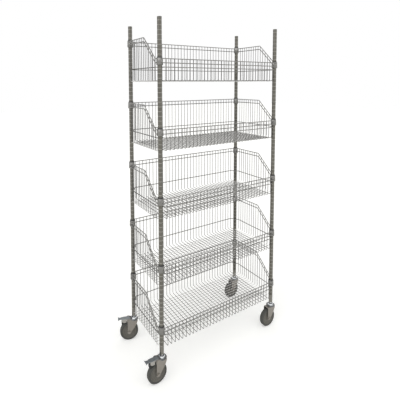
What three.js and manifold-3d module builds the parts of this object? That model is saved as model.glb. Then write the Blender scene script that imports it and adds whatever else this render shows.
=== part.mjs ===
// Bakery bread rack: four grooved chrome posts on swivel casters carry five welded wire baskets.
// Millimetres, +Z up. The low front lip of each basket faces -Y and the high back faces +Y.
import * as THREE from 'three';
import { mergeVertices } from 'three/addons/utils/BufferGeometryUtils.js';
import Module from 'manifold-3d';

// Clearances
const SEAT_CLEARANCE = 0.3;
const FIT_CLEARANCE = 0.2;
const RUN_CLEARANCE = 1;

// Posts
const POST_SPAN_X = 870;
const POST_SPAN_Y = 376;
const POST_DIAMETER = 25.4;
const POST_WALL = 1.6;
const POST_LENGTH = 1870;
const POST_SIDES = 12;
const CAP_HEIGHT = 4;
const CAP_PLUG_LENGTH = 14;

// Tiers, counted in post grooves
const GROOVE_PITCH = 25.4;
const FIRST_TIER_HEIGHT = 165;
const TIER_GROOVES = [0, 14, 29, 44, 59];
const BACK_RISE_GROOVES = 5;

// Split sleeves and the collars that wedge on them
const SLEEVE_HEIGHT = 45;
const SLEEVE_TOP_WALL = 1.4;
const SLEEVE_TAPER = 1;
const SLEEVE_SHOWS = 6.5;
const COLLAR_HEIGHT = 37;
const COLLAR_WALL = 2.4;
const COLLAR_SIDES = 8;

// Basket wires
const WIRE_RADIUS = 2.2;
const WIRE_SIDES = 3;
const RIM_ROD = 5;
const BELT_ROD = 4;
const LONG_PITCH = 25.1;
const CROSS_PITCH = 22.6;
const WIRE_FREE_OF_POST = 24;
const RIM_DROP = 4;
const RIM_SPACING = 22.4;
const BELT_DROP = 52;
const FLOOR_DROP = 120;
const SLANT_LENGTH = 136;
const SLANT_STUB = 5;
const WELD_SIZE = 2.4;

// Casters
const WHEEL_DIAMETER = 118;
const TYRE_WIDTH = 30;
const TYRE_DEPTH = 13;
const TREAD_EDGE = 5;
const WHEEL_SIDES = 16;
const HUB_DIAMETER = 32;
const HUB_WIDTH = 34;
const CORE_WIDTH = 25;
const AXLE_DIAMETER = 10;
const AXLE_HEAD_DIAMETER = 17;
const AXLE_HEAD_HEIGHT = 6;
const AXLE_SIDES = 6;
const CASTER_TRAIL = 32;
const FORK_SHEET = 3;
const CROWN_CLEARANCE = 12;
const LEG_END_RADIUS = 13;
const LEG_FRONT_REACH = 28;
const HEAD_DIAMETER = 58;
const HEAD_TOP_DIAMETER = 40;
const HEAD_HEIGHT = 13;
const SWIVEL_PIN_DIAMETER = 14;
const STEM_NUT_DIAMETER = 30;
const STEM_NUT_HEIGHT = 8;
const STEM_NECK_DIAMETER = 25;
const STEM_NECK_HEIGHT = 3.5;
const STEM_PLUG_LENGTH = 55;
const STEM_SIDES = 6;
const REAR_LEFT_TURN = THREE.MathUtils.degToRad(-18);

// Brake pedals on the two left casters, measured from the hinge pin
const EAR_RADIUS = 7;
const PEDAL_PIN_DIAMETER = 5;
const PEDAL_BARREL_DIAMETER = 10;
const PEDAL_SIDES = 8;
const PEDAL_SHEET = 3;
const PEDAL_WIDTH = 28;
const PEDAL_HEEL = 6;
const PEDAL_LENGTH = 66;
const PEDAL_WAIST_WIDTH = 16;
const PEDAL_TIP_WIDTH = 36;
const SKIRT_LENGTH = 40;
const SKIRT_DEPTH = 18;
const SKIRT_FREE_OF_CROWN = 5;
const SHOE_BACK = 29;
const SHOE_LENGTH = 14;
const SHOE_DROP = 21.5;

// Sizes that follow from the ones above
const postRadius = POST_DIAMETER / 2;
const postBore = postRadius - POST_WALL;
const wheelRadius = WHEEL_DIAMETER / 2;
const coreRadius = wheelRadius - TYRE_DEPTH;
const crownLevel = WHEEL_DIAMETER + CROWN_CLEARANCE;
const headLevel = crownLevel + FORK_SHEET;
const nutLevel = headLevel + HEAD_HEIGHT + SEAT_CLEARANCE;
const neckLevel = nutLevel + STEM_NUT_HEIGHT;
const postLevel = neckLevel + STEM_NECK_HEIGHT;
const legInside = HUB_WIDTH / 2 + RUN_CLEARANCE;
const legOutside = legInside + FORK_SHEET;
const legRear = -CASTER_TRAIL - LEG_END_RADIUS;
const backRise = BACK_RISE_GROOVES * GROOVE_PITCH;
const barrelRadius = PEDAL_BARREL_DIAMETER / 2;
const pivotX = legRear + EAR_RADIUS;
const pivotZ = headLevel + barrelRadius + RUN_CLEARANCE;
const tipReach = PEDAL_LENGTH - pivotX;
const tipHalf = PEDAL_TIP_WIDTH / 2;
const turnedTipReach = tipReach * Math.cos(REAR_LEFT_TURN) - tipHalf * Math.sin(REAR_LEFT_TURN);
const leftReach = Math.max(tipReach, turnedTipReach);
const rearReach = tipHalf * Math.cos(REAR_LEFT_TURN) - tipReach * Math.sin(REAR_LEFT_TURN);
const headRadius = HEAD_DIAMETER / 2;

const wasm = await Module();
wasm.setup();

function toSolid(geometry) {
  const bare = geometry.clone();
  bare.deleteAttribute('normal');
  bare.deleteAttribute('uv');
  const merged = mergeVertices(bare, 1e-4);
  return new wasm.Manifold(new wasm.Mesh({
    numProp: 3,
    vertProperties: Float32Array.from(merged.attributes.position.array),
    triVerts: Uint32Array.from(merged.index.array),
  }));
}

function toGeometry(solid) {
  const mesh = solid.getMesh();
  const geometry = new THREE.BufferGeometry();
  geometry.setAttribute('position', new THREE.BufferAttribute(mesh.vertProperties, 3));
  geometry.setIndex(new THREE.BufferAttribute(mesh.triVerts, 1));
  return geometry;
}

function fuse(geometries) {
  return wasm.Manifold.union(geometries.map(toSolid));
}

// A ring or a plug turned about Z. Radii are measured to the middle of each flat side.
function turned(profile, sides) {
  const toCorner = 1 / Math.cos(Math.PI / sides);
  const points = profile.map(([radius, z]) => new THREE.Vector2(radius * toCorner, z));
  return new THREE.LatheGeometry(points, sides, Math.PI / sides).rotateX(Math.PI / 2);
}

// The same section carried along a flat path, mitred at each corner. The first section axis
// points to the left of the path as seen against the path's normal.
function swept(path, normal, section, closed = false) {
  const count = path.length;
  const positions = [];
  for (let i = 0; i < count; i++) {
    const before = path[closed ? (i + count - 1) % count : Math.max(i - 1, 0)];
    const after = path[closed ? (i + 1) % count : Math.min(i + 1, count - 1)];
    const arriving = path[i].clone().sub(before).normalize();
    const leaving = after.clone().sub(path[i]).normalize();
    const sideIn = normal.clone().cross(i > 0 || closed ? arriving : leaving);
    const sideOut = normal.clone().cross(i < count - 1 || closed ? leaving : arriving);
    const mitre = sideIn.clone().add(sideOut).normalize();
    mitre.divideScalar(mitre.dot(sideIn));
    for (const [side, up] of section) {
      const corner = path[i].clone().addScaledVector(mitre, side).addScaledVector(normal, up);
      positions.push(corner.x, corner.y, corner.z);
    }
  }
  const sides = section.length;
  const index = [];
  const spans = closed ? count : count - 1;
  for (let i = 0; i < spans; i++) {
    for (let j = 0; j < sides; j++) {
      const a = i * sides + j;
      const b = i * sides + (j + 1) % sides;
      const c = ((i + 1) % count) * sides + j;
      const d = ((i + 1) % count) * sides + (j + 1) % sides;
      index.push(a, b, d, a, d, c);
    }
  }
  const last = (count - 1) * sides;
  for (let j = 1; j < sides - 1 && !closed; j++) {
    index.push(0, j + 1, j, last, last + j, last + j + 1);
  }
  const geometry = new THREE.BufferGeometry();
  geometry.setAttribute('position', new THREE.Float32BufferAttribute(positions, 3));
  geometry.setIndex(index);
  return geometry;
}

const threeSided = (size) => [[size / 2, 0], [-size / 2, size / 2], [-size / 2, -size / 2]];
const square = (size) => [[-size, -size], [size, -size], [size, size], [-size, size]].map(
  ([side, up]) => [side / 2, up / 2],
);
// Wires have a flat side that faces out of the basket and a ridge that faces in.
const wireFlat = WIRE_RADIUS * Math.cos(Math.PI / WIRE_SIDES);
const wireSection = Array.from({ length: WIRE_SIDES }, (_, i) => {
  const angle = i * 2 * Math.PI / WIRE_SIDES;
  return [WIRE_RADIUS * Math.cos(angle), WIRE_RADIUS * Math.sin(angle)];
});

const chrome = () => new THREE.MeshStandardMaterial({ color: 0xb4b4b2, roughness: 0.22, metalness: 0.95 });
const zinc = () => new THREE.MeshStandardMaterial({ color: 0x9b978d, roughness: 0.4, metalness: 0.85 });
const brightZinc = () => new THREE.MeshStandardMaterial({ color: 0xc9c9c6, roughness: 0.3, metalness: 0.9 });
const darkPlastic = () => new THREE.MeshStandardMaterial({ color: 0x3c3c3e, roughness: 0.55, metalness: 0 });
const greyPlastic = () => new THREE.MeshStandardMaterial({ color: 0x8a8a86, roughness: 0.5, metalness: 0 });
const rubber = () => new THREE.MeshStandardMaterial({ color: 0x50504c, roughness: 0.75, metalness: 0 });

function piece(name, geometry, material, parent) {
  const mesh = new THREE.Mesh(geometry, material);
  mesh.name = name;
  parent.add(mesh);
  return mesh;
}

const rack = new THREE.Group();
// The pedals reach past the left end and the turned one past the back, so the whole rack moves to
// centre its outline.
rack.position.set((leftReach - headRadius) / 2, (headRadius - rearReach) / 2, 0);

const corners = [
  { name: 'rear_left', x: -POST_SPAN_X / 2, y: POST_SPAN_Y / 2, turn: REAR_LEFT_TURN, brake: true },
  { name: 'front_left', x: -POST_SPAN_X / 2, y: -POST_SPAN_Y / 2, turn: 0, brake: true },
  { name: 'rear_right', x: POST_SPAN_X / 2, y: POST_SPAN_Y / 2, turn: 0, brake: false },
  { name: 'front_right', x: POST_SPAN_X / 2, y: -POST_SPAN_Y / 2, turn: 0, brake: false },
];

// Posts: plain tubes here, closed at the top by a pressed-in cap
const tube = turned([
  [postBore, 0], [postRadius, 0], [postRadius, POST_LENGTH], [postBore, POST_LENGTH], [postBore, 0],
], POST_SIDES);
const plugRadius = postBore - FIT_CLEARANCE;
const cap = turned([
  [0, -CAP_PLUG_LENGTH], [plugRadius, -CAP_PLUG_LENGTH], [plugRadius, 0],
  [postRadius, 0], [postRadius, CAP_HEIGHT], [0, CAP_HEIGHT],
], POST_SIDES);
for (const corner of corners) {
  piece(`post_${corner.name}`, tube, chrome(), rack).position.set(corner.x, corner.y, postLevel);
  piece(`post_cap_${corner.name}`, cap, greyPlastic(), rack)
    .position.set(corner.x, corner.y, postLevel + POST_LENGTH);
}

// Sleeves: a tapered ring that grips a groove of the post, measured down from its top edge
const sleeveBore = postRadius / Math.cos(Math.PI / POST_SIDES) + FIT_CLEARANCE;
const sleeveRadius = (z) => sleeveBore + SLEEVE_TOP_WALL - SLEEVE_TAPER * z / SLEEVE_HEIGHT;
const sleeve = turned([
  [sleeveBore, -SLEEVE_HEIGHT], [sleeveRadius(-SLEEVE_HEIGHT), -SLEEVE_HEIGHT],
  [sleeveRadius(0), 0], [sleeveBore, 0], [sleeveBore, -SLEEVE_HEIGHT],
], COLLAR_SIDES);

// Baskets: two layers of bent wires hang from the upper rim, just outside the posts, and the rim
// rods are welded to the collars
const collarTop = -SLEEVE_SHOWS;
const collarBottom = collarTop - COLLAR_HEIGHT;
const collarBore = (z) => sleeveRadius(z) + FIT_CLEARANCE;
const collarRadius = (z) => collarBore(z) + COLLAR_WALL;
const collar = turned([
  [collarBore(collarBottom), collarBottom], [collarRadius(collarBottom), collarBottom],
  [collarRadius(collarTop), collarTop], [collarBore(collarTop), collarTop],
  [collarBore(collarBottom), collarBottom],
], COLLAR_SIDES);
const halfX = POST_SPAN_X / 2;
const halfY = POST_SPAN_Y / 2;
const frontRim = collarTop - RIM_DROP;
const floorLevel = collarTop - FLOOR_DROP;
const wallOut = collarRadius(collarTop) - RIM_ROD / 2;
const lowerRimOut = wallOut + wireFlat + SEAT_CLEARANCE + RIM_ROD / 2;
// The upper rods end in the slanting sides of the collars, clear of their bores.
const rimEnd = Math.SQRT2 * (collarRadius(frontRim) - COLLAR_WALL / 2) - (wallOut - RIM_ROD / 2);
const slantFoot = -halfY + rimEnd + SLANT_STUB;
const slantHead = slantFoot + SLANT_LENGTH;

// Height of the side rim's middle at a place along Y
function sideRim(y) {
  const along = THREE.MathUtils.clamp((y - slantFoot) / SLANT_LENGTH, 0, 1);
  return frontRim + backRise * along;
}

// One set of rim rods, outside the post centres, each cut short of them by an end gap
function rimRods(drop, out, end, section) {
  const low = frontRim - drop;
  const high = low + backRise;
  const rods = [];
  for (const [y, z] of [[-halfY - out, low], [halfY + out, high]]) {
    rods.push(swept([
      new THREE.Vector3(-halfX + end, y, z),
      new THREE.Vector3(halfX - end, y, z),
    ], new THREE.Vector3(0, 1, 0), section));
  }
  for (const x of [-halfX - out, halfX + out]) {
    rods.push(swept([
      new THREE.Vector3(x, -halfY + end, low),
      new THREE.Vector3(x, slantFoot, low),
      new THREE.Vector3(x, slantHead, high),
      new THREE.Vector3(x, halfY - end, high),
    ], new THREE.Vector3(1, 0, 0), section));
  }
  return rods;
}

// The belt lies outside the front-to-back wires, inside the side-to-side wires and inside the posts.
const beltX = halfX + wallOut - WIRE_RADIUS - SEAT_CLEARANCE - BELT_ROD / 2;
const beltY = halfY + wallOut + wireFlat + SEAT_CLEARANCE + BELT_ROD / 2;
function beltLoop() {
  const pastPost = Math.SQRT2 * (postRadius + BELT_ROD + RUN_CLEARANCE);
  const cornerX = halfX + halfY - beltY - pastPost;
  const cornerY = halfX + halfY - beltX - pastPost;
  const z = collarTop - BELT_DROP;
  const outline = [
    [cornerX, -beltY], [beltX, -cornerY], [beltX, cornerY], [cornerX, beltY],
    [-cornerX, beltY], [-beltX, cornerY], [-beltX, -cornerY], [-cornerX, -beltY],
  ].map(([x, y]) => new THREE.Vector3(x, y, z));
  return swept(outline, new THREE.Vector3(0, 0, 1), threeSided(BELT_ROD), true);
}

const longCount = Math.floor((halfX - WIRE_FREE_OF_POST) / LONG_PITCH);
const crossCount = Math.floor((halfY - WIRE_FREE_OF_POST) / CROSS_PITCH);
const wallX = halfX + wallOut;
const wallY = halfY + wallOut;
const lowerLayer = floorLevel - wireFlat - SEAT_CLEARANCE - WIRE_RADIUS;
const basketParts = [
  ...rimRods(0, wallOut, rimEnd, square(RIM_ROD)),
  ...rimRods(RIM_SPACING, lowerRimOut, 0, threeSided(RIM_ROD)),
  beltLoop(),
];
for (let i = -longCount; i <= longCount; i++) {
  const x = i * LONG_PITCH;
  basketParts.push(swept([
    new THREE.Vector3(x, -wallY, frontRim),
    new THREE.Vector3(x, -wallY, floorLevel),
    new THREE.Vector3(x, wallY, floorLevel),
    new THREE.Vector3(x, wallY, frontRim + backRise),
  ], new THREE.Vector3(1, 0, 0), wireSection));
}
for (let j = -crossCount; j <= crossCount; j++) {
  const y = j * CROSS_PITCH;
  basketParts.push(swept([
    new THREE.Vector3(-wallX, y, sideRim(y)),
    new THREE.Vector3(-wallX, y, lowerLayer),
    new THREE.Vector3(wallX, y, lowerLayer),
    new THREE.Vector3(wallX, y, sideRim(y)),
  ], new THREE.Vector3(0, -1, 0), wireSection));
}
// The belt is welded to the middle wire of each side.
for (const side of [-1, 1]) {
  basketParts.push(new THREE.BoxGeometry(wallX - beltX, WELD_SIZE, WELD_SIZE)
    .translate(side * (wallX + beltX) / 2, 0, collarTop - BELT_DROP));
}
for (const corner of corners) {
  const rise = corner.y > 0 ? backRise : 0;
  basketParts.push(collar.clone().translate(corner.x, corner.y, rise));
}
const basket = toGeometry(fuse(basketParts));
TIER_GROOVES.forEach((grooves, tier) => {
  const level = postLevel + FIRST_TIER_HEIGHT + grooves * GROOVE_PITCH;
  piece(`basket_${tier + 1}`, basket, chrome(), rack).position.z = level;
  for (const corner of corners) {
    const rise = corner.y > 0 ? backRise : 0;
    piece(`sleeve_${tier + 1}_${corner.name}`, sleeve, darkPlastic(), rack)
      .position.set(corner.x, corner.y, level + rise);
  }
});

// Casters: drawn about the swivel axis with the wheel trailing to -X
const pinRadius = SWIVEL_PIN_DIAMETER / 2;
const headBore = pinRadius / Math.cos(Math.PI / STEM_SIDES) + FIT_CLEARANCE;
const stemPlug = plugRadius * Math.cos(Math.PI / STEM_SIDES);
const stem = turned([
  [0, crownLevel], [pinRadius, crownLevel], [pinRadius, nutLevel],
  [STEM_NUT_DIAMETER / 2, nutLevel], [STEM_NUT_DIAMETER / 2, neckLevel],
  [STEM_NECK_DIAMETER / 2, neckLevel], [STEM_NECK_DIAMETER / 2, postLevel],
  [stemPlug, postLevel], [stemPlug, postLevel + STEM_PLUG_LENGTH], [0, postLevel + STEM_PLUG_LENGTH],
], STEM_SIDES);

const headTop = headLevel + HEAD_HEIGHT;
const head = turned([
  [0, crownLevel], [headRadius, crownLevel], [headRadius, headLevel + HEAD_HEIGHT / 3],
  [HEAD_TOP_DIAMETER / 2, headTop], [0, headTop],
], POST_SIDES);
const pinBore = turned([
  [0, crownLevel - RUN_CLEARANCE], [headBore, crownLevel - RUN_CLEARANCE],
  [headBore, headTop + RUN_CLEARANCE], [0, headTop + RUN_CLEARANCE],
], STEM_SIDES);

const axleRadius = AXLE_DIAMETER / 2;
const axleHead = AXLE_HEAD_DIAMETER / 2;
const axleEnd = legOutside + AXLE_HEAD_HEIGHT;
const axleSeat = legOutside - FORK_SHEET / 2;
const axle = turned([
  [0, -axleEnd], [axleHead, -axleEnd], [axleHead, -axleSeat], [axleRadius, -axleSeat],
  [axleRadius, axleSeat], [axleHead, axleSeat], [axleHead, axleEnd], [0, axleEnd],
], AXLE_SIDES).rotateX(Math.PI / 2).translate(-CASTER_TRAIL, 0, wheelRadius);

// A fork leg seen from the side. Braked forks have an ear on top for the pedal's pin.
function legOutline(brake) {
  const outline = new THREE.Shape();
  outline.moveTo(LEG_FRONT_REACH, headLevel);
  if (brake) {
    outline.lineTo(pivotX + EAR_RADIUS, headLevel);
    outline.absarc(pivotX, pivotZ, EAR_RADIUS, 0, Math.PI, false);
  } else {
    outline.lineTo(legRear, headLevel);
  }
  outline.lineTo(legRear, wheelRadius);
  outline.absarc(-CASTER_TRAIL, wheelRadius, LEG_END_RADIUS, Math.PI, Math.PI * 2, false);
  outline.closePath();
  return outline;
}

function forkGeometry(brake) {
  const leg = new THREE.ExtrudeGeometry(legOutline(brake), {
    depth: FORK_SHEET, bevelEnabled: false, curveSegments: 2,
  }).rotateX(Math.PI / 2);
  const crown = new THREE.BoxGeometry(-legRear, 2 * legOutside, FORK_SHEET)
    .translate(legRear / 2, 0, crownLevel + FORK_SHEET / 2);
  const parts = [head, crown, axle];
  parts.push(leg.clone().translate(0, -legInside, 0), leg.clone().translate(0, legOutside, 0));
  if (brake) {
    parts.push(new THREE.CylinderGeometry(
      PEDAL_PIN_DIAMETER / 2, PEDAL_PIN_DIAMETER / 2, 2 * legOutside - FORK_SHEET, PEDAL_SIDES,
    ).translate(pivotX, 0, pivotZ));
  }
  return toGeometry(fuse(parts).subtract(toSolid(pinBore)));
}

const hubRadius = HUB_DIAMETER / 2;
const hubBore = axleRadius / Math.cos(Math.PI / AXLE_SIDES) + FIT_CLEARANCE;
const core = turned([
  [hubBore, -HUB_WIDTH / 2], [hubRadius, -HUB_WIDTH / 2], [coreRadius, -CORE_WIDTH / 2],
  [coreRadius, CORE_WIDTH / 2], [hubRadius, HUB_WIDTH / 2], [hubBore, HUB_WIDTH / 2],
  [hubBore, -HUB_WIDTH / 2],
], WHEEL_SIDES).rotateX(Math.PI / 2);
const tyreBore = coreRadius + FIT_CLEARANCE;
const tyre = turned([
  [tyreBore, -TYRE_WIDTH / 2], [wheelRadius - TREAD_EDGE, -TYRE_WIDTH / 2],
  [wheelRadius, -TYRE_WIDTH / 2 + TREAD_EDGE], [wheelRadius, TYRE_WIDTH / 2 - TREAD_EDGE],
  [wheelRadius - TREAD_EDGE, TYRE_WIDTH / 2], [tyreBore, TYRE_WIDTH / 2], [tyreBore, -TYRE_WIDTH / 2],
], WHEEL_SIDES).rotateX(Math.PI / 2);

// A brake pedal: a pressed lever with a flared tip and a skirt down each side, a hinge barrel and
// the shoe that meets the tyre
function pedalGeometry() {
  const half = PEDAL_WIDTH / 2;
  const waist = (SKIRT_LENGTH + PEDAL_LENGTH) / 2;
  const lever = new THREE.Shape();
  lever.moveTo(PEDAL_HEEL, -half);
  lever.lineTo(PEDAL_HEEL, half);
  lever.lineTo(-SKIRT_LENGTH, half);
  lever.quadraticCurveTo(-waist, PEDAL_WAIST_WIDTH / 2, -PEDAL_LENGTH, tipHalf);
  lever.lineTo(-PEDAL_LENGTH, -tipHalf);
  lever.quadraticCurveTo(-waist, -PEDAL_WAIST_WIDTH / 2, -SKIRT_LENGTH, -half);
  lever.closePath();
  const sheet = new THREE.ExtrudeGeometry(lever, {
    depth: PEDAL_SHEET, bevelEnabled: false, curveSegments: 2,
  }).translate(0, 0, barrelRadius);

  const skirtFront = EAR_RADIUS + SKIRT_FREE_OF_CROWN;
  const skirtTop = barrelRadius + PEDAL_SHEET / 2;
  const overCrown = RUN_CLEARANCE - barrelRadius;
  const profile = new THREE.Shape();
  profile.moveTo(PEDAL_HEEL, skirtTop);
  profile.lineTo(-SKIRT_LENGTH, skirtTop);
  profile.lineTo(-SKIRT_LENGTH, 0);
  profile.quadraticCurveTo(-SKIRT_LENGTH, -SKIRT_DEPTH, -SKIRT_LENGTH / 2, -SKIRT_DEPTH);
  profile.lineTo(-skirtFront, -SKIRT_DEPTH);
  profile.lineTo(-skirtFront, overCrown);
  profile.lineTo(PEDAL_HEEL, overCrown);
  profile.closePath();
  const skirt = new THREE.ExtrudeGeometry(profile, {
    depth: PEDAL_SHEET, bevelEnabled: false, curveSegments: 2,
  }).rotateX(Math.PI / 2);

  const shoe = new THREE.BoxGeometry(SHOE_LENGTH, PEDAL_WIDTH - PEDAL_SHEET, skirtTop + SHOE_DROP)
    .translate(-SHOE_BACK, 0, (skirtTop - SHOE_DROP) / 2);
  const barrel = new THREE.CylinderGeometry(barrelRadius, barrelRadius, PEDAL_WIDTH, PEDAL_SIDES);
  const boreRadius = (PEDAL_PIN_DIAMETER / 2 + FIT_CLEARANCE) / Math.cos(Math.PI / PEDAL_SIDES);
  const bore = new THREE.CylinderGeometry(boreRadius, boreRadius, 2 * PEDAL_WIDTH, PEDAL_SIDES);
  const skirts = [
    skirt.clone().translate(0, half, 0), skirt.clone().translate(0, PEDAL_SHEET - half, 0),
  ];
  return toGeometry(fuse([sheet, ...skirts, shoe, barrel]).subtract(toSolid(bore)));
}

for (const corner of corners) {
  piece(`caster_stem_${corner.name}`, stem, brightZinc(), rack).position.set(corner.x, corner.y, 0);
  const caster = new THREE.Group();
  caster.position.set(corner.x, corner.y, 0);
  caster.rotation.z = corner.turn;
  rack.add(caster);
  piece(`caster_fork_${corner.name}`, forkGeometry(corner.brake), zinc(), caster);
  piece(`wheel_core_${corner.name}`, core, greyPlastic(), caster).position.set(-CASTER_TRAIL, 0, wheelRadius);
  piece(`wheel_tyre_${corner.name}`, tyre, rubber(), caster).position.set(-CASTER_TRAIL, 0, wheelRadius);
  if (corner.brake) {
    piece(`brake_pedal_${corner.name}`, pedalGeometry(), zinc(), caster).position.set(pivotX, 0, pivotZ);
  }
}

export default rack;
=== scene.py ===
import math

import bmesh
import bpy
from mathutils import Euler, Matrix, Vector


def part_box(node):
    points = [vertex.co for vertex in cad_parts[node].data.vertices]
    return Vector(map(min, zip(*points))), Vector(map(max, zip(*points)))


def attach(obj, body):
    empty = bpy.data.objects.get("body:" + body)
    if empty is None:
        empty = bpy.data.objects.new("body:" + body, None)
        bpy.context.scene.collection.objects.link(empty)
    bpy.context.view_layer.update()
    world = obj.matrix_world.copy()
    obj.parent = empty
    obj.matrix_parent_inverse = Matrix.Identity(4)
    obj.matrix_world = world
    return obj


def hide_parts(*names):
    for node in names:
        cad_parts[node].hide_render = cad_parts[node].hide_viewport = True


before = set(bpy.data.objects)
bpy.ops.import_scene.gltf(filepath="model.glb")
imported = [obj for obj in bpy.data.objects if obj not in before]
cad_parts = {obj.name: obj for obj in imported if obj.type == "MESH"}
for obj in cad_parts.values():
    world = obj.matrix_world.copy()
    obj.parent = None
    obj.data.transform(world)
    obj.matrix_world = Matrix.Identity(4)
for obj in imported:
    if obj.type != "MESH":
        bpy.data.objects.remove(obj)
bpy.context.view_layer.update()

# Camera
# The photograph looks from the front left at about eye level. Its frame was cropped low, so the
# optical axis lies high in the picture and the lens is shifted to match.
scene = bpy.context.scene
scene.view_settings.view_transform = "Standard"
camera_data = bpy.data.cameras.new("photo_camera")
camera_data.sensor_width = 36
camera_data.lens = 30.63
camera_data.shift_x = 0.0632
camera_data.shift_y = -0.2312
camera_data.clip_end = 100
camera = bpy.data.objects.new("photo_camera", camera_data)
camera.location = (-1.2794, -1.7932, 1.6799)
camera_yaw = math.radians(31.431)
camera_pitch = math.radians(4.078)
camera_roll = math.radians(-0.231)
camera_turn = Euler((math.pi / 2 - camera_pitch, 0, -camera_yaw)).to_matrix()
camera.rotation_euler = (camera_turn @ Matrix.Rotation(camera_roll, 3, "Z")).to_euler()
scene.collection.objects.link(camera)
scene.camera = camera


# Studio
# White paper to the horizon, a pale room all round and two broad, distant lamps. They light the
# paper evenly, and a little lift makes it white to the camera and in the metal with its shadow kept.


# A colour written as sRGB hex, in the linear values that a shader takes
def linear(hex_colour):
    channels = []
    for first in (1, 3, 5):
        value = int(hex_colour[first:first + 2], 16) / 255
        channels.append(value / 12.92 if value <= 0.04045 else ((value + 0.055) / 1.055) ** 2.4)
    return channels + [1]


# A node with its settings, values and links. The sockets of a Mix node share their names and go by
# number: 2 and 3 take plain numbers, 6 and 7 take colours, and output 2 is the mixed colour.
def add_node(tree, kind, settings=None, values=None, links=None):
    node = tree.nodes.new(kind)
    for name, value in (settings or {}).items():
        setattr(node, name, value)
    for name, value in (values or {}).items():
        node.inputs[name].default_value = value
    for name, source in (links or {}).items():
        tree.links.new(source, node.inputs[name])
    return node


# One where a ray comes from the camera, a mirror or glass, and zero where it only lights a surface
def seen_directly(tree):
    ray = add_node(tree, "ShaderNodeLightPath")
    seen = ray.outputs["Is Camera Ray"]
    for kind in ("Is Glossy Ray", "Is Transmission Ray"):
        either = add_node(
            tree, "ShaderNodeMath", {"operation": "MAXIMUM"}, links={0: seen, 1: ray.outputs[kind]}
        )
        seen = either.outputs[0]
    return seen


ROOM_STRENGTH = 0.6
world = bpy.data.worlds.new("white_studio")
world.use_nodes = True
scene.world = world
tree = world.node_tree
tree.nodes.clear()
room_light = add_node(
    tree, "ShaderNodeBackground", values={"Color": linear("#f4f4f2"), "Strength": ROOM_STRENGTH}
)
backdrop = add_node(tree, "ShaderNodeBackground", values={"Color": linear("#ffffff"), "Strength": 1})
sky = add_node(
    tree, "ShaderNodeMixShader",
    links={0: seen_directly(tree), 1: room_light.outputs[0], 2: backdrop.outputs[0]},
)
add_node(tree, "ShaderNodeOutputWorld", links={"Surface": sky.outputs[0]})

# White paper: matt, with faint clouds of tone, which are drawn far larger than its fibres so that
# they show. The sizes of patterns and pieces are in millimetres.
MM = 0.001
PAPER_CLOUD = 100
PAPER_LIFT = 0.32
FLOOR_HALF_METRES = 20
paper = bpy.data.materials.new("white_paper")
paper.use_nodes = True
tree = paper.node_tree
tree.nodes.clear()
clouds = add_node(
    tree, "ShaderNodeTexNoise", values={"Scale": 2 * FLOOR_HALF_METRES / (PAPER_CLOUD * MM)}
)
paper_tone = add_node(
    tree, "ShaderNodeMix", {"data_type": "RGBA"},
    values={6: linear("#efefed"), 7: linear("#f3f3f1")}, links={0: clouds.outputs[0]},
)
matt = add_node(tree, "ShaderNodeBsdfDiffuse", links={"Color": paper_tone.outputs[2]})
lift = add_node(
    tree, "ShaderNodeMath", {"operation": "MULTIPLY"},
    values={1: PAPER_LIFT}, links={0: seen_directly(tree)},
)
glow = add_node(tree, "ShaderNodeEmission", links={"Strength": lift.outputs[0]})
both = add_node(tree, "ShaderNodeAddShader", links={0: matt.outputs[0], 1: glow.outputs[0]})
add_node(tree, "ShaderNodeOutputMaterial", links={"Surface": both.outputs[0]})

floor_mesh = bpy.data.meshes.new("studio_floor")
floor_corners = [
    (x * FLOOR_HALF_METRES, y * FLOOR_HALF_METRES, 0) for x, y in ((-1, -1), (1, -1), (1, 1), (-1, 1))
]
floor_mesh.from_pydata(floor_corners, [], [(0, 1, 2, 3)])
floor = bpy.data.objects.new("studio_floor", floor_mesh)
floor.data.materials.append(paper)
scene.collection.objects.link(floor)

for name, spot, breadth_degrees, power in (
    ("key_lamp", (-3.4, -1.8, 3.6), 70, 1.2),
    ("fill_lamp", (3.6, -2.6, 3.0), 100, 0.6),
):
    lamp_data = bpy.data.lights.new(name, "SUN")
    lamp_data.angle = math.radians(breadth_degrees)
    lamp_data.energy = power
    lamp = bpy.data.objects.new(name, lamp_data)
    lamp.location = spot
    lamp.rotation_euler = (-Vector(spot)).to_track_quat("-Z", "Y").to_euler()
    scene.collection.objects.link(lamp)


# Posts
# Round steel tube, 25.4 mm across, with a shallow ring rolled in every 25.4 mm so that a basket can
# hang at any of them, then chrome plated. The last stretch above the caster is left plain.
CORNERS = ("rear_left", "front_left", "rear_right", "front_right")
POST_RADIUS = 12.7
POST_BORE = 11.1
END_ROUNDING = 0.6
GROOVE_PITCH = 25.4
FIRST_GROOVE = 50.7
GROOVE_WIDTH = 3.6
GROOVE_FLOOR = 1.44
GROOVE_DEPTH = 0.8
ROUND_SIDES = 32


# The middle of a solid in plan and its lowest level, in millimetres
def foot_of(node):
    low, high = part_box(node)
    return Vector(((low.x + high.x) / 2, (low.y + high.y) / 2, low.z)) / MM


# A mesh from points in millimetres. Edges that turn by more than sharp_degrees stay crisp.
def mesh_of(name, points, faces, material, sharp_degrees=35):
    mesh = bpy.data.meshes.new(name)
    mesh.from_pydata([Vector(point) * MM for point in points], [], faces)
    shape = bmesh.new()
    shape.from_mesh(mesh)
    bmesh.ops.recalc_face_normals(shape, faces=shape.faces)
    for face in shape.faces:
        face.smooth = True
    for edge in shape.edges:
        edge.smooth = edge.calc_face_angle(math.pi) < math.radians(sharp_degrees)
    shape.to_mesh(mesh)
    shape.free()
    mesh.materials.append(material)
    return mesh


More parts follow.
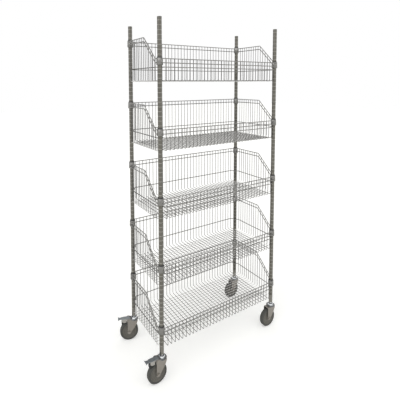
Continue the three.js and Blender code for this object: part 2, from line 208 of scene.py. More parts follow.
# A piece set down in millimetres, riding on one body and standing in for the solids named
def place(name, mesh, where, body, slot, *nodes, turn=0):
    piece = bpy.data.objects.new(name, mesh)
    scene.collection.objects.link(piece)
    piece.location = Vector(where) * MM
    piece.rotation_euler.z = turn
    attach(piece, body)
    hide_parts(*nodes)


# Faces over a row of rings with the same count of points. The row closes on itself, or a flat face
# ends it on each side.
def ring_faces(points, count, closed=False):
    total = len(points)
    faces = []
    for here in range(0, total if closed else total - count, count):
        after = (here + count) % total
        for j in range(count):
            k = (j + 1) % count
            faces.append((here + j, here + k, after + k, after + j))
    if not closed:
        faces.append(tuple(range(count)))
        faces.append(tuple(range(total - count, total)))
    return faces


# A profile of (radius, height) pairs turned about Z. The profile closes on itself.
def turned(profile, sides, first_degrees=0, last_degrees=360):
    whole = last_degrees - first_degrees == 360
    points = []
    for i in range(sides if whole else sides + 1):
        angle = math.radians(first_degrees + (last_degrees - first_degrees) * i / sides)
        points += [(radius * math.cos(angle), radius * math.sin(angle), z) for radius, z in profile]
    return points, ring_faces(points, len(profile), closed=whole)


# A material whose tone and gloss drift between two values with a soft noise of one real size
def mottled(name, dark, light, size_mm, smooth, rough, metallic=0):
    material = bpy.data.materials.new(name)
    material.use_nodes = True
    tree = material.node_tree
    shader = tree.nodes["Principled BSDF"]
    shader.inputs["Metallic"].default_value = metallic
    where = add_node(tree, "ShaderNodeTexCoord")
    drift = add_node(
        tree, "ShaderNodeTexNoise", values={"Scale": 1 / (size_mm * MM), "Detail": 6},
        links={"Vector": where.outputs["Object"]},
    )
    tone = add_node(
        tree, "ShaderNodeMix", {"data_type": "RGBA"},
        values={6: linear(dark), 7: linear(light)}, links={0: drift.outputs[0]},
    )
    gloss = add_node(
        tree, "ShaderNodeMapRange", values={"To Min": smooth, "To Max": rough},
        links={"Value": drift.outputs[0]},
    )
    tree.links.new(tone.outputs[2], shader.inputs["Base Color"])
    tree.links.new(gloss.outputs[0], shader.inputs["Roughness"])
    return material


# A second colour laid over a mottled material, as far as a factor between zero and one says
def lay_over(material, colour, factor):
    tree = material.node_tree
    laid = add_node(
        tree, "ShaderNodeMix", {"data_type": "RGBA"}, values={7: linear(colour)},
        links={0: factor, 6: tree.nodes["Mix"].outputs[2]},
    )
    tree.links.new(laid.outputs[2], tree.nodes["Principled BSDF"].inputs["Base Color"])


# The height of a point in its piece, in metres, as an output in the nodes of a mottled material
def height_in(material):
    tree = material.node_tree
    along_axes = add_node(
        tree, "ShaderNodeSeparateXYZ", links={0: tree.nodes["Texture Coordinate"].outputs["Object"]}
    )
    return along_axes.outputs["Z"]


# Chrome on the tubes: a warm mid-grey mirror, dulled by handling in patches a few centimetres long.
# The rolled rings are painted brightest, a painted highlight where they catch the light, and the
# plain foot is painted a little brighter too.
HANDLING_PATCH = 45
FOOT_BRIGHTNESS = 0.45
tube_chrome = mottled(
    "chrome_plated_tube", "#615f59", "#74726b",
    size_mm=HANDLING_PATCH, smooth=0.2, rough=0.36, metallic=1,
)
tree = tube_chrome.node_tree
above_first = add_node(
    tree, "ShaderNodeMath", {"operation": "SUBTRACT"},
    values={1: FIRST_GROOVE * MM}, links={0: height_in(tube_chrome)},
).outputs[0]
to_ring = add_node(
    tree, "ShaderNodeMath", {"operation": "PINGPONG"},
    values={1: GROOVE_PITCH / 2 * MM}, links={0: above_first},
).outputs[0]
in_ring = add_node(
    tree, "ShaderNodeMath", {"operation": "LESS_THAN"},
    values={1: GROOVE_WIDTH / 2 * MM}, links={0: to_ring},
).outputs[0]
over_foot = add_node(
    tree, "ShaderNodeMath", {"operation": "GREATER_THAN"},
    values={1: -GROOVE_WIDTH * MM}, links={0: above_first},
).outputs[0]
# The rings take a painted highlight, and the plain foot a lighter tone
ring_highlight_and_foot_tone = add_node(
    tree, "ShaderNodeMix", values={2: FOOT_BRIGHTNESS}, links={0: over_foot, 3: in_ring}
).outputs[0]
lay_over(tube_chrome, "#8f8d87", ring_highlight_and_foot_tone)

post_low, post_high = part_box("post_front_left")
post_length = (post_high.z - post_low.z) / MM
profile = [(POST_BORE, 0), (POST_RADIUS - END_ROUNDING, 0), (POST_RADIUS, END_ROUNDING)]
height = FIRST_GROOVE
while height < post_length - GROOVE_PITCH / 2:
    for offset, depth in (
        (-GROOVE_WIDTH / 2, 0), (-GROOVE_FLOOR / 2, GROOVE_DEPTH),
        (GROOVE_FLOOR / 2, GROOVE_DEPTH), (GROOVE_WIDTH / 2, 0),
    ):
        profile.append((POST_RADIUS - depth, height + offset))
    height += GROOVE_PITCH
profile += [
    (POST_RADIUS, post_length - END_ROUNDING), (POST_RADIUS - END_ROUNDING, post_length),
    (POST_BORE, post_length),
]
post_mesh = mesh_of("grooved_post", *turned(profile, ROUND_SIDES), tube_chrome)
for corner in CORNERS:
    node = "post_" + corner
    place("grooved_post_" + corner, post_mesh, foot_of(node), "rack_frame", "chrome", node)


# Post caps
# A moulded cap closes the open top of each tube. Its plug is pushed into the bore and its flat
# head, with a rounded edge and a dimple in its middle, sits on the cut end.
CAP_PLUG = 14
CAP_HEAD = 4
CAP_ROUNDING = 1.4
CAP_ROUND_STEPS = 4
DIMPLE_RADIUS = 5
DIMPLE_SLOPE = 1
DIMPLE_DEPTH = 0.6
PLUG_CLEARANCE = 0.2
PLUG_BEVEL = 1

# Grey polyamide: a flat, slightly warm grey with the grain of a mould, which is drawn coarser than
# it is so that it shows.
MOULD_GRAIN = 1.5
grey_polyamide = mottled(
    "moulded_grey_polyamide", "#6a6964", "#7c7b75", size_mm=MOULD_GRAIN, smooth=0.4, rough=0.6
)


# A solid about Z closed by flat ends, from (radius, height) pairs in order. A radius may also be a
# function of the angle, for a shape that isn't round.
def drum(levels, sides):
    points = []
    for radius, z in levels:
        for i in range(sides):
            angle = 2 * math.pi * i / sides
            reach = radius(angle) if callable(radius) else radius
            points.append((reach * math.cos(angle), reach * math.sin(angle), z))
    return points, ring_faces(points, sides)


plug_radius = POST_BORE - PLUG_CLEARANCE
cap_top = CAP_PLUG + CAP_HEAD
levels = [
    (plug_radius - PLUG_BEVEL, 0), (plug_radius, PLUG_BEVEL), (plug_radius, CAP_PLUG),
    (POST_RADIUS, CAP_PLUG),
]
for step in range(CAP_ROUND_STEPS + 1):
    angle = math.radians(90 * step / CAP_ROUND_STEPS)
    edge = POST_RADIUS - CAP_ROUNDING * (1 - math.cos(angle))
    levels.append((edge, cap_top - CAP_ROUNDING * (1 - math.sin(angle))))
levels += [(DIMPLE_RADIUS, cap_top), (DIMPLE_RADIUS - DIMPLE_SLOPE, cap_top - DIMPLE_DEPTH)]
cap_mesh = mesh_of("post_cap", *drum(levels, ROUND_SIDES), grey_polyamide)
for corner in CORNERS:
    node = "post_cap_" + corner
    place("moulded_cap_" + corner, cap_mesh, foot_of(node), "rack_frame", "grey_plastic", node)


# Sleeves
# Two black plastic half shells snap round a post, with a rib in one of its rings. They are
# thicker at the foot, so the weight of the basket wedges its collar tight on them.
TIERS = range(1, 6)
SLEEVE_HEIGHT = 45
SLEEVE_BORE = 12.95
SLEEVE_TOP_RADIUS = 14.75
SLEEVE_FOOT_RADIUS = 15.75
SLEEVE_EDGE = 0.5
SLEEVE_HALF_SIDES = 16
HALF_GAP_DEGREES = 3

# Black nylon: near black with a soft sheen and a mould's grain, the darkest ring on each post.
black_nylon = mottled(
    "moulded_black_nylon", "#2c2c2d", "#3f3f3f", size_mm=MOULD_GRAIN, smooth=0.38, rough=0.55
)

profile = [
    (SLEEVE_BORE, 0), (SLEEVE_FOOT_RADIUS - SLEEVE_EDGE, 0), (SLEEVE_FOOT_RADIUS, SLEEVE_EDGE),
    (SLEEVE_TOP_RADIUS, SLEEVE_HEIGHT - SLEEVE_EDGE), (SLEEVE_TOP_RADIUS - SLEEVE_EDGE, SLEEVE_HEIGHT),
    (SLEEVE_BORE, SLEEVE_HEIGHT),
]


# Several lots of points and faces as one
def together(lots):
    points = []
    faces = []
    for lot_points, lot_faces in lots:
        first = len(points)
        points += lot_points
        faces += [tuple(first + i for i in face) for face in lot_faces]
    return points, faces


halves = [
    turned(profile, SLEEVE_HALF_SIDES, side + HALF_GAP_DEGREES, side + 180 - HALF_GAP_DEGREES)
    for side in (0, 180)
]
sleeve_mesh = mesh_of("split_sleeve", *together(halves), black_nylon)
for tier in TIERS:
    for corner in CORNERS:
        node = f"sleeve_{tier}_{corner}"
        place("split_" + node, sleeve_mesh, foot_of(node), "rack_frame", "dark_plastic", node)


# Baskets
# Each is one weldment of steel wire, chrome plated after welding. Bent wires run front to back and,
# under them, side to side. Two rim rods, a belt rod and four tapered collars hold them together.

# Heights in a basket are measured from the top of its front sleeves
POST_SPAN_X = 870
POST_SPAN_Y = 376
BACK_RISE = 5 * GROOVE_PITCH
LONG_WIRE_RADIUS = 1.75
CROSS_WIRE_RADIUS = 1.65
RIM_RADIUS = 2.6
BELT_RADIUS = 2.5
ROD_SIDES = 8
BEND_STEPS = 5
WELD_SINK = 0.3
LONG_PITCH = 25.1
LONG_WIRES = 33
CROSS_PITCH = 22.6
CROSS_WIRES = 15
WALL_OUT = 14
RIM_SPACING = 22.4
BELT_DROP = 49
BELT_TURNS_IN = 24
BELT_INSIDE_POST = 12.2
BELT_BEND = 10
BELT_BEND_STEPS = 4
FLOOR_DROP = 120
FLOOR_BEND = 8
SLANT_FOOT_BACK = 15.7
SLANT_LENGTH = 136
SLANT_BEND = 14
COLLAR_TOP = -6.5
COLLAR_HEIGHT = 37
COLLAR_TOP_RADIUS = 17.5
COLLAR_FOOT_RADIUS = 18.3
COLLAR_WALL = 2.4
COLLAR_LIP = 0.8
RIM_DROP = 4
WELDMENT_SHARP_DEGREES = 50
ALONG_X = Vector((1, 0, 0))
ALONG_Y = Vector((0, 1, 0))
UPWARD = Vector((0, 0, 1))

# Chrome on the wire: a grey mirror, lighter and less warm than the tubes, with the same patches.
wire_chrome = mottled(
    "chrome_plated_wire", "#6c6b69", "#828180",
    size_mm=HANDLING_PATCH, smooth=0.2, rough=0.36, metallic=1,
)
# Chrome on the wires side to side: a darker grey on the uprights as painted shade, and far
# brighter under the floor as a painted highlight.
cross_chrome_shade_and_highlight = mottled(
    "chrome_plated_cross_wire", "#585756", "#6e6d6c",
    size_mm=HANDLING_PATCH, smooth=0.2, rough=0.36, metallic=1,
)
# Chrome on the rods and collars: lighter and a little rougher, in smaller patches, because this
# thicker steel is drawn less smooth.
ROD_PATCH = 20
rod_chrome = mottled(
    "chrome_plated_rod", "#777673", "#8f8e8b", size_mm=ROD_PATCH, smooth=0.26, rough=0.42, metallic=1
)

half_x = POST_SPAN_X / 2
half_y = POST_SPAN_Y / 2
wall_x = half_x + WALL_OUT
wall_y = half_y + WALL_OUT
front_rim = COLLAR_TOP - RIM_DROP
floor_level = COLLAR_TOP - FLOOR_DROP
slant_foot = -half_y + SLANT_FOOT_BACK


# The corners of a path replaced by bends of one radius
def bent(corners, radius, steps, closed=False):
    count = len(corners)
    path = []
    for i, corner in enumerate(corners):
        if not closed and i in (0, count - 1):
            path.append(corner)
            continue
        to_before = (corners[i - 1] - corner).normalized()
        to_after = (corners[(i + 1) % count] - corner).normalized()
        half_angle = to_before.angle(to_after) / 2
        middle = corner + (to_before + to_after).normalized() * radius / math.sin(half_angle)
        first = (corner + to_before * radius / math.tan(half_angle) - middle).normalized()
        last = (corner + to_after * radius / math.tan(half_angle) - middle).normalized()
        path += [middle + first.slerp(last, step / steps) * radius for step in range(steps + 1)]
    return path


# A round rod along a flat path. The normal is square to the plane of the path.
def rod(path, radius, normal, closed=False):
    count = len(path)
    points = []
    for i, place_on_path in enumerate(path):
        before = path[i - 1] if closed or i > 0 else place_on_path
        after = path[(i + 1) % count] if closed or i < count - 1 else place_on_path
        side = normal.cross(after - before).normalized()
        for j in range(ROD_SIDES):
            angle = 2 * math.pi * (j + 0.5) / ROD_SIDES
            points.append(place_on_path + radius * (side * math.cos(angle) + normal * math.sin(angle)))
    return points, ring_faces(points, ROD_SIDES, closed)


# Height of the side rim's middle at a place along Y
def side_rim(y):
    along = (y - slant_foot) / SLANT_LENGTH
    return front_rim + BACK_RISE * min(max(along, 0), 1)


wires = []
for i in range(LONG_WIRES):
    x = (i - LONG_WIRES // 2) * LONG_PITCH
    corners = [
        Vector((x, -wall_y, front_rim)), Vector((x, -wall_y, floor_level)),
        Vector((x, wall_y, floor_level)), Vector((x, wall_y, front_rim + BACK_RISE)),
    ]
    wires.append(rod(bent(corners, FLOOR_BEND, BEND_STEPS), LONG_WIRE_RADIUS, ALONG_X))
cross_level = floor_level - LONG_WIRE_RADIUS - CROSS_WIRE_RADIUS + WELD_SINK
cross_wires = []
for i in range(CROSS_WIRES):
    y = (i - CROSS_WIRES // 2) * CROSS_PITCH
    corners = [
        Vector((-wall_x, y, side_rim(y))), Vector((-wall_x, y, cross_level)),
        Vector((wall_x, y, cross_level)), Vector((wall_x, y, side_rim(y))),
    ]
    cross_wires.append(rod(bent(corners, FLOOR_BEND, BEND_STEPS), CROSS_WIRE_RADIUS, ALONG_Y))
# A painted highlight on the runs under the floor, fading out up the bends
painted_highlight_under_floor = add_node(
    cross_chrome_shade_and_highlight.node_tree, "ShaderNodeMapRange",
    values={
        "From Min": (cross_level + CROSS_WIRE_RADIUS) * MM,
        "From Max": (cross_level + FLOOR_BEND) * MM,
        "To Min": 1,
        "To Max": 0,
    },
    links={"Value": height_in(cross_chrome_shade_and_highlight)},
)
lay_over(cross_chrome_shade_and_highlight, "#d0cfcd", painted_highlight_under_floor.outputs[0])

rods = []
rim_out = WALL_OUT + LONG_WIRE_RADIUS + RIM_RADIUS - WELD_SINK
for drop in (0, RIM_SPACING):
    low = front_rim - drop
    high = low + BACK_RISE
    for y, z in ((-half_y - rim_out, low), (half_y + rim_out, high)):
        rods.append(rod([Vector((-half_x, y, z)), Vector((half_x, y, z))], RIM_RADIUS, UPWARD))
    for x in (-half_x - rim_out, half_x + rim_out):
        corners = [
            Vector((x, -half_y, low)), Vector((x, slant_foot, low)),
            Vector((x, slant_foot + SLANT_LENGTH, high)), Vector((x, half_y, high)),
        ]
        rods.append(rod(bent(corners, SLANT_BEND, BEND_STEPS), RIM_RADIUS, ALONG_X))

# The belt lies outside the front-to-back wires and inside the side-to-side wires. At each corner it
# turns in and passes inside the post.
belt_x = wall_x - CROSS_WIRE_RADIUS - BELT_RADIUS + WELD_SINK
belt_y = wall_y + LONG_WIRE_RADIUS + BELT_RADIUS - WELD_SINK
quarter = [
    (belt_x, half_y - BELT_TURNS_IN),
    (half_x - BELT_INSIDE_POST, half_y - BELT_INSIDE_POST),
    (half_x - BELT_TURNS_IN, belt_y),
]
around = quarter + [(-x, y) for x, y in reversed(quarter)]
around += [(-x, -y) for x, y in around]
corners = [Vector((x, y, COLLAR_TOP - BELT_DROP)) for x, y in around]
belt = bent(corners, BELT_BEND, BELT_BEND_STEPS, closed=True)
rods.append(rod(belt, BELT_RADIUS, UPWARD, closed=True))

collar_foot = COLLAR_TOP - COLLAR_HEIGHT
profile = [
    (COLLAR_FOOT_RADIUS - COLLAR_WALL, collar_foot), (COLLAR_FOOT_RADIUS - COLLAR_LIP, collar_foot),
    (COLLAR_FOOT_RADIUS, collar_foot + COLLAR_LIP), (COLLAR_TOP_RADIUS, COLLAR_TOP - COLLAR_LIP),
    (COLLAR_TOP_RADIUS - COLLAR_LIP, COLLAR_TOP), (COLLAR_TOP_RADIUS - COLLAR_WALL, COLLAR_TOP),
]
collar_points, collar_faces = turned(profile, ROUND_SIDES)
for x in (-half_x, half_x):
    for y, rise in ((-half_y, 0), (half_y, BACK_RISE)):
        moved = [Vector(point) + Vector((x, y, rise)) for point in collar_points]
        rods.append((moved, collar_faces))

basket_meshes = [
    mesh_of(name, *together(lots), material, WELDMENT_SHARP_DEGREES)
    for name, lots, material in (
        ("basket_wires", wires, wire_chrome), ("basket_cross_wires", cross_wires, cross_chrome_shade_and_highlight),
        ("basket_rods", rods, rod_chrome),
    )
]
rack_middle = (foot_of("post_front_left") + foot_of("post_rear_right")) / 2
for tier in TIERS:
    node = f"basket_{tier}"
    sleeve_foot = foot_of(f"sleeve_{tier}_front_left").z
    level = Vector((rack_middle.x, rack_middle.y, sleeve_foot + SLEEVE_HEIGHT))
    for mesh in basket_meshes:
        place(f"{mesh.name}_{tier}", mesh, level, "rack_frame", "chrome", node)


# Caster stems
# A turned steel stem is driven into the foot of each post. Its neck shows under the tube, and its
# hexagon nut, with a black ring on it, sits on the swivel head. Its pin goes down through that head.

# Heights in a caster are measured from the floor
PIN_FOOT = 133.6
PIN_RADIUS = 7
NUT_LEVEL = 138.4
NUT_TOP = 147.8
NUT_ACROSS_FLATS = 34
NUT_CORNER_RADIUS = 19.4
NUT_DRAFT = 2
NUT_CHAMFER = 1
NECK_RADIUS = 9.5
SEAL_RADIUS = 13.8
SEAL_TOP = 149.4
SEAL_EDGE = 0.6
POST_LEVEL = 157.8
STEM_PLUG_RADIUS = 10.6
STEM_PLUG_LENGTH = 55
HEX_SIDES = 36
HEX_SHARP_DEGREES = 20

# Bright zinc: the lightest metal on the rack, smooth and slightly blue, in clouds of about a
# centimetre.
bright_zinc = mottled(
    "bright_zinc_plated_steel", "#ced2d6", "#e6e8ea", size_mm=12, smooth=0.18, rough=0.3, metallic=1
)


# The outline of a hexagon, with its corners cut back to a circle
def hexagon(across_flats, corner_radius):
    def reach(angle):
        from_flat = (angle + math.pi / 6) % (math.pi / 3) - math.pi / 6
        return min(across_flats / 2 / math.cos(from_flat), corner_radius)
    return reach


# The sides of the nut lean in towards its top, so that they face the light a little
nut_foot, nut_edge, nut_face = (
    hexagon(NUT_ACROSS_FLATS - 2 * inset, NUT_CORNER_RADIUS - inset)
    for inset in (0, NUT_DRAFT, NUT_DRAFT + NUT_CHAMFER)
)
stem_mesh = mesh_of("caster_stem", *drum([
    (PIN_RADIUS, PIN_FOOT), (PIN_RADIUS, NUT_LEVEL), (nut_foot, NUT_LEVEL),
    (nut_edge, NUT_TOP - NUT_CHAMFER), (nut_face, NUT_TOP), (NECK_RADIUS, NUT_TOP),
    (NECK_RADIUS, POST_LEVEL), (STEM_PLUG_RADIUS, POST_LEVEL),
    (STEM_PLUG_RADIUS, POST_LEVEL + STEM_PLUG_LENGTH),
], HEX_SIDES), bright_zinc, HEX_SHARP_DEGREES)
seal_mesh = mesh_of("stem_seal", *turned([
    (NECK_RADIUS, NUT_TOP), (SEAL_RADIUS, NUT_TOP), (SEAL_RADIUS, SEAL_TOP - SEAL_EDGE),
    (SEAL_RADIUS - SEAL_EDGE, SEAL_TOP), (NECK_RADIUS, SEAL_TOP),
], ROUND_SIDES), black_nylon)


# The point on the floor under a post, about which its caster is drawn with its wheel towards -X
def caster_origin(corner):
    axis = foot_of("post_" + corner)
    return Vector((axis.x, axis.y, 0))


for corner in CORNERS:
    node = "caster_stem_" + corner
    place("turned_stem_" + corner, stem_mesh, caster_origin(corner), "rack_frame", "bright_zinc", node)
    place("stem_seal_" + corner, seal_mesh, caster_origin(corner), "rack_frame", "dark_plastic", node)


# Caster forks
# One strap of steel sheet bent to an upside-down U holds the wheel between its legs. A shallow swivel
# head is riveted on its crown and a bolt through both legs is the axle.
TRAIL = 32
AXLE_LEVEL = 59
SHEET = 3
LEG_MIDDLE = 19.5
LEG_REAR = -43
LEG_FRONT = 23
LEG_END_RADIUS = 13
LEG_END_FIRST_DEGREES = 6
LEG_END_STEP_DEGREES = 12
LEG_CURVE = 1.6
LEG_STEPS = 10
SHEET_EDGE = 0.8
EDGE_FLAT = 1.2
CROWN_TOP = 133
SHOULDER = 5.5
SHOULDER_STEPS = 5
REAR_LEFT_TURN_DEGREES = -18
caster_turn = {corner: 0 for corner in CORNERS}
caster_turn["rear_left"] = math.radians(REAR_LEFT_TURN_DEGREES)

# Zinc on the pressed steel: a dull warm grey with the spangle of the plating.
ZINC_SPANGLE = 8
warm_zinc = mottled(
    "zinc_plated_sheet", "#837f79", "#9b968f",
    size_mm=ZINC_SPANGLE, smooth=0.38, rough=0.55, metallic=1,
)
# Steel on the head: a neutral mid-grey with a satin gleam, finely clouded.
mid_grey_head_steel = mottled(
    "mid_grey_steel_swivel_head", "#686969", "#7f8080", size_mm=5, smooth=0.3, rough=0.46, metallic=1
)


# How far a leg reaches back and forward at one height. Its front edge sweeps forward to the crown.
def leg_reach(z):
    if z < AXLE_LEVEL:
        half = math.sqrt(LEG_END_RADIUS ** 2 - (AXLE_LEVEL - z) ** 2)
        return -TRAIL - half, -TRAIL + half
    along = min((z - AXLE_LEVEL) / (CROWN_TOP - AXLE_LEVEL), 1)
    sweep = 1 - (1 - along) ** LEG_CURVE
    low_front = LEG_END_RADIUS - TRAIL
    return LEG_REAR, low_front + (LEG_FRONT - low_front) * sweep


# Sheet of one thickness with eased edges. Each station has the middle of the sheet and its outward
# direction in the YZ plane, and the reach along X.
def strap(stations):
    face = SHEET / 2
    flat = EDGE_FLAT / 2
    section = (
        (0, SHEET_EDGE, face), (1, -SHEET_EDGE, face), (1, 0, flat), (1, 0, -flat),
        (1, -SHEET_EDGE, -face), (0, SHEET_EDGE, -face), (0, 0, -flat), (0, 0, flat),
    )
    points = []
    for middle, outward, reach in stations:
        for end, ease, offset in section:
            y, z = middle + outward * offset
            points.append((reach[end] + ease, y, z))
    return points, ring_faces(points, len(section))


crown_middle = CROWN_TOP - SHEET / 2
bend_level = crown_middle - SHOULDER
heights = [
    AXLE_LEVEL - LEG_END_RADIUS * math.cos(math.radians(angle))
    for angle in range(LEG_END_FIRST_DEGREES, 90, LEG_END_STEP_DEGREES)
]
heights += [AXLE_LEVEL + (bend_level - AXLE_LEVEL) * i / LEG_STEPS for i in range(LEG_STEPS + 1)]
half_strap = [(Vector((-LEG_MIDDLE, z)), Vector((-1, 0)), leg_reach(z)) for z in heights]
bend_middle = Vector((SHOULDER - LEG_MIDDLE, bend_level))
for step in range(1, SHOULDER_STEPS + 1):
    angle = math.radians(90 * step / SHOULDER_STEPS)
    outward = Vector((-math.cos(angle), math.sin(angle)))
    half_strap.append((bend_middle + outward * SHOULDER, outward, leg_reach(CROWN_TOP)))
mirrored = [
    (Vector((-middle.x, middle.y)), Vector((-outward.x, outward.y)), reach)
    for middle, outward, reach in reversed(half_strap)
]
fork_strap = strap(half_strap + mirrored)

# The head is a shallow dish, set back below its lip
HEAD_BORE = 7.6
HEAD_TOP = 138
HEAD_FLAT = 18.5
HEAD_RADIUS = 28.9
HEAD_LIP = 4
LIP_LEVEL = 134.6
LIP_EDGE = 1
LIP_TOP = 137.2
HEAD_SIDES = 48
profile = [
    (HEAD_BORE, CROWN_TOP), (HEAD_RADIUS - HEAD_LIP, CROWN_TOP), (HEAD_RADIUS - HEAD_LIP, LIP_LEVEL),
    (HEAD_RADIUS - LIP_EDGE, LIP_LEVEL), (HEAD_RADIUS, LIP_LEVEL + LIP_EDGE),
    (HEAD_RADIUS, LIP_TOP - LIP_EDGE), (HEAD_RADIUS - LIP_EDGE, LIP_TOP), (HEAD_FLAT, HEAD_TOP),
    (HEAD_BORE, HEAD_TOP),
]
head_mesh = mesh_of("swivel_head", *turned(profile, HEAD_SIDES), mid_grey_head_steel)


# A shape drawn about Z laid down along Y, with its foot towards -Y
def laid_down(shape, x, z):
    points, faces = shape
    return [(x + px, pz, z + py) for px, py, pz in points], faces


# Half of a section, from (radius, distance from the middle) pairs, with the same on the other side
def both_sides(half):
    return [(radius, -y) for radius, y in half] + list(reversed(half))


# The axle bolt has a hexagon and a washer at each end
AXLE_RADIUS = 5
AXLE_NUT_ACROSS = 14
AXLE_NUT_CORNER = 7.9
AXLE_NUT_CHAMFER = 0.8
AXLE_END = 25.5
WASHER_RADIUS = 8.8
WASHER_THICKNESS = 0.8
leg_outside = LEG_MIDDLE + SHEET / 2
washer_end = leg_outside + WASHER_THICKNESS
axle_face = hexagon(AXLE_NUT_ACROSS, AXLE_NUT_CORNER - AXLE_NUT_CHAMFER)
axle_side = hexagon(AXLE_NUT_ACROSS, AXLE_NUT_CORNER)
half_axle = [
    (axle_face, AXLE_END), (axle_side, AXLE_END - AXLE_NUT_CHAMFER), (axle_side, washer_end),
    (WASHER_RADIUS, washer_end), (WASHER_RADIUS, leg_outside), (AXLE_RADIUS, leg_outside),
]
axle = laid_down(drum(both_sides(half_axle), HEX_SIDES), -TRAIL, AXLE_LEVEL)


# A flat plate with eased edges: an outline in the XZ plane, drawn anticlockwise seen from -Y,
# between two places along Y
def plate(outline, near, far, ease):
    corners = [Vector(corner) for corner in outline]
    count = len(corners)
    inset = []
    for i, corner in enumerate(corners):
        before = (corner - corners[i - 1]).normalized()
        after = (corners[(i + 1) % count] - corner).normalized()
        inward = Vector((-before.y - after.y, before.x + after.x))
        inset.append(corner + inward * ease / (1 + before.dot(after)))
    points = []
    for y, ring in ((near, inset), (near + ease, corners), (far - ease, corners), (far, inset)):
        points += [(corner.x, y, corner.y) for corner in ring]
    return points, ring_faces(points, count)


# Points along an arc in one plane
def arc(x, z, radius, first_degrees, last_degrees, steps):
    points = []
    for i in range(steps + 1):
        angle = math.radians(first_degrees + (last_degrees - first_degrees) * i / steps)
        points.append((x + radius * math.cos(angle), z + radius * math.sin(angle)))
    return points


# On a braked caster two ears stand up from the legs, and a riveted pin between them holds the pedal
PIVOT_X = -38
PIVOT_LEVEL = 139
EAR_RADIUS = 7
EAR_FOOT = 126
EAR_FRONT = -14
EAR_FRONT_LEVEL = 139
EAR_FIRST_DEGREES = 72
EAR_STEPS = 8
ear_outline = [(PIVOT_X - EAR_RADIUS, EAR_FOOT), (EAR_FRONT, EAR_FOOT), (EAR_FRONT, EAR_FRONT_LEVEL)]
ear_outline += arc(PIVOT_X, PIVOT_LEVEL, EAR_RADIUS, EAR_FIRST_DEGREES, 180, EAR_STEPS)
ears = [
    plate(ear_outline, side - SHEET / 2, side + SHEET / 2, SHEET_EDGE)
    for side in (-LEG_MIDDLE, LEG_MIDDLE)
]

RIVET_RADIUS = 4
RIVET_HEIGHT = 1.4
PEDAL_PIN_RADIUS = 2.5
PEDAL_PIN_SIDES = 20
half_pin = [
    (RIVET_RADIUS / 2, leg_outside + RIVET_HEIGHT), (RIVET_RADIUS, leg_outside + RIVET_HEIGHT / 2),
    (RIVET_RADIUS, leg_outside), (PEDAL_PIN_RADIUS, leg_outside),
]
pedal_pin = laid_down(drum(both_sides(half_pin), PEDAL_PIN_SIDES), PIVOT_X, PIVOT_LEVEL)

BRAKED = ("rear_left", "front_left")
plain_fork = mesh_of("plain_fork", *together([fork_strap, axle]), warm_zinc)
braked_fork = mesh_of("braked_fork", *together([fork_strap, axle, pedal_pin] + ears), warm_zinc)
for corner in CORNERS:
    node = "caster_fork_" + corner
    fork_mesh = braked_fork if corner in BRAKED else plain_fork
    for name, mesh in (("pressed_fork_", fork_mesh), ("swivel_head_", head_mesh)):
        place(
            name + corner, mesh, caster_origin(corner), "caster_" + corner, "zinc", node,
            turn=caster_turn[corner],
        )


# Wheels
# A grey plastic core with a raised hub and rings on its web carries a tyre of dark grey rubber,
# moulded round its rim. The hub turns on the axle bolt.
WHEEL_SIDES = 64

# Core plastic: a warm grey, matt, with faint marks where it flowed in the mould.
core_plastic = mottled(
    "grey_polypropylene", "#57554e", "#68655e", size_mm=4, smooth=0.45, rough=0.65
)
# Tyre rubber: dark grey, dull, with dusty patches.
tyre_rubber = mottled("dark_grey_rubber", "#3d3d3a", "#4d4d49", size_mm=14, smooth=0.6, rough=0.8)

# Places on the section of the core. Each pair is a radius and a distance from the middle.
HUB_BORE = 6.2
HUB_FACE_RADIUS = 14
HUB_HALF_WIDTH = 17
HUB_EDGE = (15.6, 15.6)
WEB_FROM = (16.2, 11)
WEB_TO = (31, 9.6)
RING_FROM = (33, 11.4)
RING_TO = (36.5, 11.6)
CHANNEL_FROM = (38, 10)
CHANNEL_TO = (41, 10)
RIM_FROM_RADIUS = 43
RIM_TO_RADIUS = 46
RIM_HALF_WIDTH = 12.3
half_core = [
    (HUB_BORE, HUB_HALF_WIDTH), (HUB_FACE_RADIUS, HUB_HALF_WIDTH), HUB_EDGE, WEB_FROM, WEB_TO,
    RING_FROM, RING_TO, CHANNEL_FROM, CHANNEL_TO,
    (RIM_FROM_RADIUS, RIM_HALF_WIDTH), (RIM_TO_RADIUS, RIM_HALF_WIDTH),
]

TYRE_BORE = 46.2
TYRE_LIP = 1.6
TYRE_LIP_HALF_WIDTH = 14
TYRE_WALL = 3.4
TYRE_HALF_WIDTH = 15
TYRE_SHOULDER = 8
TYRE_STEPS = 6
WHEEL_RADIUS = 59
half_tyre = [
    (TYRE_BORE, RIM_HALF_WIDTH), (TYRE_BORE + TYRE_LIP, TYRE_LIP_HALF_WIDTH),
    (TYRE_BORE + TYRE_WALL, TYRE_HALF_WIDTH),
]
for step in range(TYRE_STEPS + 1):
    angle = math.radians(90 * step / TYRE_STEPS)
    half_tyre.append((
        WHEEL_RADIUS - TYRE_SHOULDER * (1 - math.sin(angle)),
        TYRE_HALF_WIDTH - TYRE_SHOULDER * (1 - math.cos(angle)),
    ))


# A part of the wheel from half of its section
def wheel_part(half):
    return laid_down(turned(both_sides(half), WHEEL_SIDES), -TRAIL, AXLE_LEVEL)


core_mesh = mesh_of("wheel_core", *wheel_part(half_core), core_plastic)
tyre_mesh = mesh_of("wheel_tyre", *wheel_part(half_tyre), tyre_rubber)
for corner in CORNERS:
    for name, mesh, slot, node in (
        ("ringed_core_", core_mesh, "core_plastic", "wheel_core_"),
        ("round_tyre_", tyre_mesh, "tyre_rubber", "wheel_tyre_"),
    ):
        place(
            name + corner, mesh, caster_origin(corner), "wheel_" + corner, slot, node + corner,
            turn=caster_turn[corner],
        )


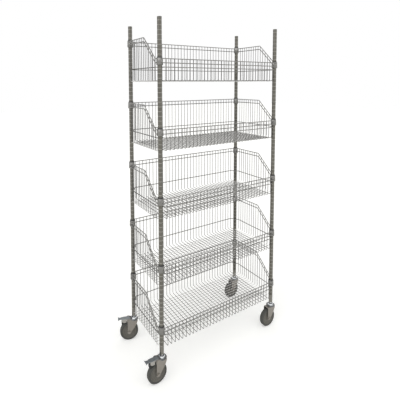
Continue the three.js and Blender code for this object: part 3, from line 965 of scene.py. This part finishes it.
# Brake pedals
# On the two left casters a pressed lever with a flared tip rocks on a pin behind the swivel head.
# Skirts down its sides carry a black rubber shoe, which a foot on the tip presses on the tyre.

# Zinc on the lever: painted cooler and darker than the fork as painted shade, with the same spangle.
shaded_lever_zinc = mottled(
    "zinc_lever_painted_shade", "#72777a", "#8a8e90",
    size_mm=ZINC_SPANGLE, smooth=0.3, rough=0.48, metallic=1,
)
# Zinc on the skirts: lighter than the fork, as painted light on their faces.
lit_skirt_zinc = mottled(
    "zinc_skirts_painted_light", "#95938e", "#aeaca7",
    size_mm=ZINC_SPANGLE, smooth=0.34, rough=0.5, metallic=1,
)
# Brake rubber: nearly black, dull, with a grain that is drawn coarse so that it shows. The
# black is also painted shade, where it fills the shadow between the skirts and the tyre.
shoe_rubber_and_shade = mottled("black_shoe_rubber_and_painted_shade", "#0a0a0a", "#141413", size_mm=3, smooth=0.6, rough=0.8)

LEVER_FOOT = 144
LEVER_TOP = 147
LEVER_HEEL = -28
LEVER_HALF = 14
WAIST_START = -78
WAIST_PULL = 5
WAIST_STEPS = 8
TIP_REACH = -104
TIP_HALF = 18
LEVER_EASE = 0.9

# Each long side runs in to a waist and out again to the tip, on a smooth curve that WAIST_PULL draws in
waist_side = []
for step in range(WAIST_STEPS + 1):
    along = step / WAIST_STEPS
    bow = 2 * along * (1 - along)
    x = WAIST_START + (TIP_REACH - WAIST_START) * along
    waist_side.append((x, LEVER_HALF * (1 - along) ** 2 + WAIST_PULL * bow + TIP_HALF * along ** 2))
lever_outline = [(LEVER_HEEL, -LEVER_HALF), (LEVER_HEEL, LEVER_HALF)] + waist_side
lever_outline += [(x, -y) for x, y in reversed(waist_side)]
lever_points, lever_faces = plate(lever_outline, LEVER_FOOT, LEVER_TOP, LEVER_EASE)
lever_mesh = mesh_of("brake_lever", [(x, y, z) for x, z, y in lever_points], lever_faces, shaded_lever_zinc)

# The skirts are two plates under the lever, with a barrel round the pin between them
SKIRT_FOOT = 121
SKIRT_FRONT = -50
SKIRT_BEND = 14
SKIRT_STEPS = 6
OVER_CROWN = 134.5
BARREL_RADIUS = 4.8
PIN_CLEARANCE = 0.4
skirt_outline = [(WAIST_START, LEVER_FOOT)]
skirt_outline += arc(
    WAIST_START + SKIRT_BEND, SKIRT_FOOT + SKIRT_BEND, SKIRT_BEND, 180, 270, SKIRT_STEPS
)
skirt_outline += [
    (SKIRT_FRONT, SKIRT_FOOT), (SKIRT_FRONT, OVER_CROWN), (LEVER_HEEL, OVER_CROWN),
    (LEVER_HEEL, LEVER_FOOT),
]
skirt_inside = LEVER_HALF - SHEET
half_barrel = [(PEDAL_PIN_RADIUS + PIN_CLEARANCE, skirt_inside), (BARREL_RADIUS, skirt_inside)]
skirts = [
    plate(skirt_outline, -LEVER_HALF, -skirt_inside, SHEET_EDGE),
    plate(skirt_outline, skirt_inside, LEVER_HALF, SHEET_EDGE),
    laid_down(turned(both_sides(half_barrel), PEDAL_PIN_SIDES), PIVOT_X, PIVOT_LEVEL),
]
skirt_mesh = mesh_of("brake_skirts", *together(skirts), lit_skirt_zinc)

# The shoe is a block between the skirts, hollowed to the curve of the tyre. It is drawn long, so
# that its black also covers that shadow.
SHOE_RADIUS = 68.9
SHOE_TOP = 143.8
SHOE_REAR_DEGREES = 134.5
SHOE_FRONT_DEGREES = 109
SHOE_STEPS = 6
SHOE_CLEARANCE = 0.2
shoe_half = skirt_inside - SHOE_CLEARANCE
shoe_outline = arc(
    -TRAIL, AXLE_LEVEL, SHOE_RADIUS, SHOE_REAR_DEGREES, SHOE_FRONT_DEGREES, SHOE_STEPS
)
shoe_outline += [(shoe_outline[-1][0], SHOE_TOP), (shoe_outline[0][0], SHOE_TOP)]
shoe = plate(shoe_outline, -shoe_half, shoe_half, LEVER_EASE)
shoe_mesh = mesh_of("brake_shoe", *shoe, shoe_rubber_and_shade)
for corner in BRAKED:
    for name, mesh, slot in (
        ("brake_lever_", lever_mesh, "zinc"), ("brake_skirts_", skirt_mesh, "zinc"),
        ("brake_shoe_", shoe_mesh, "tyre_rubber"),
    ):
        place(
            name + corner, mesh, caster_origin(corner), "pedal_" + corner, slot,
            "brake_pedal_" + corner, turn=caster_turn[corner],
        )
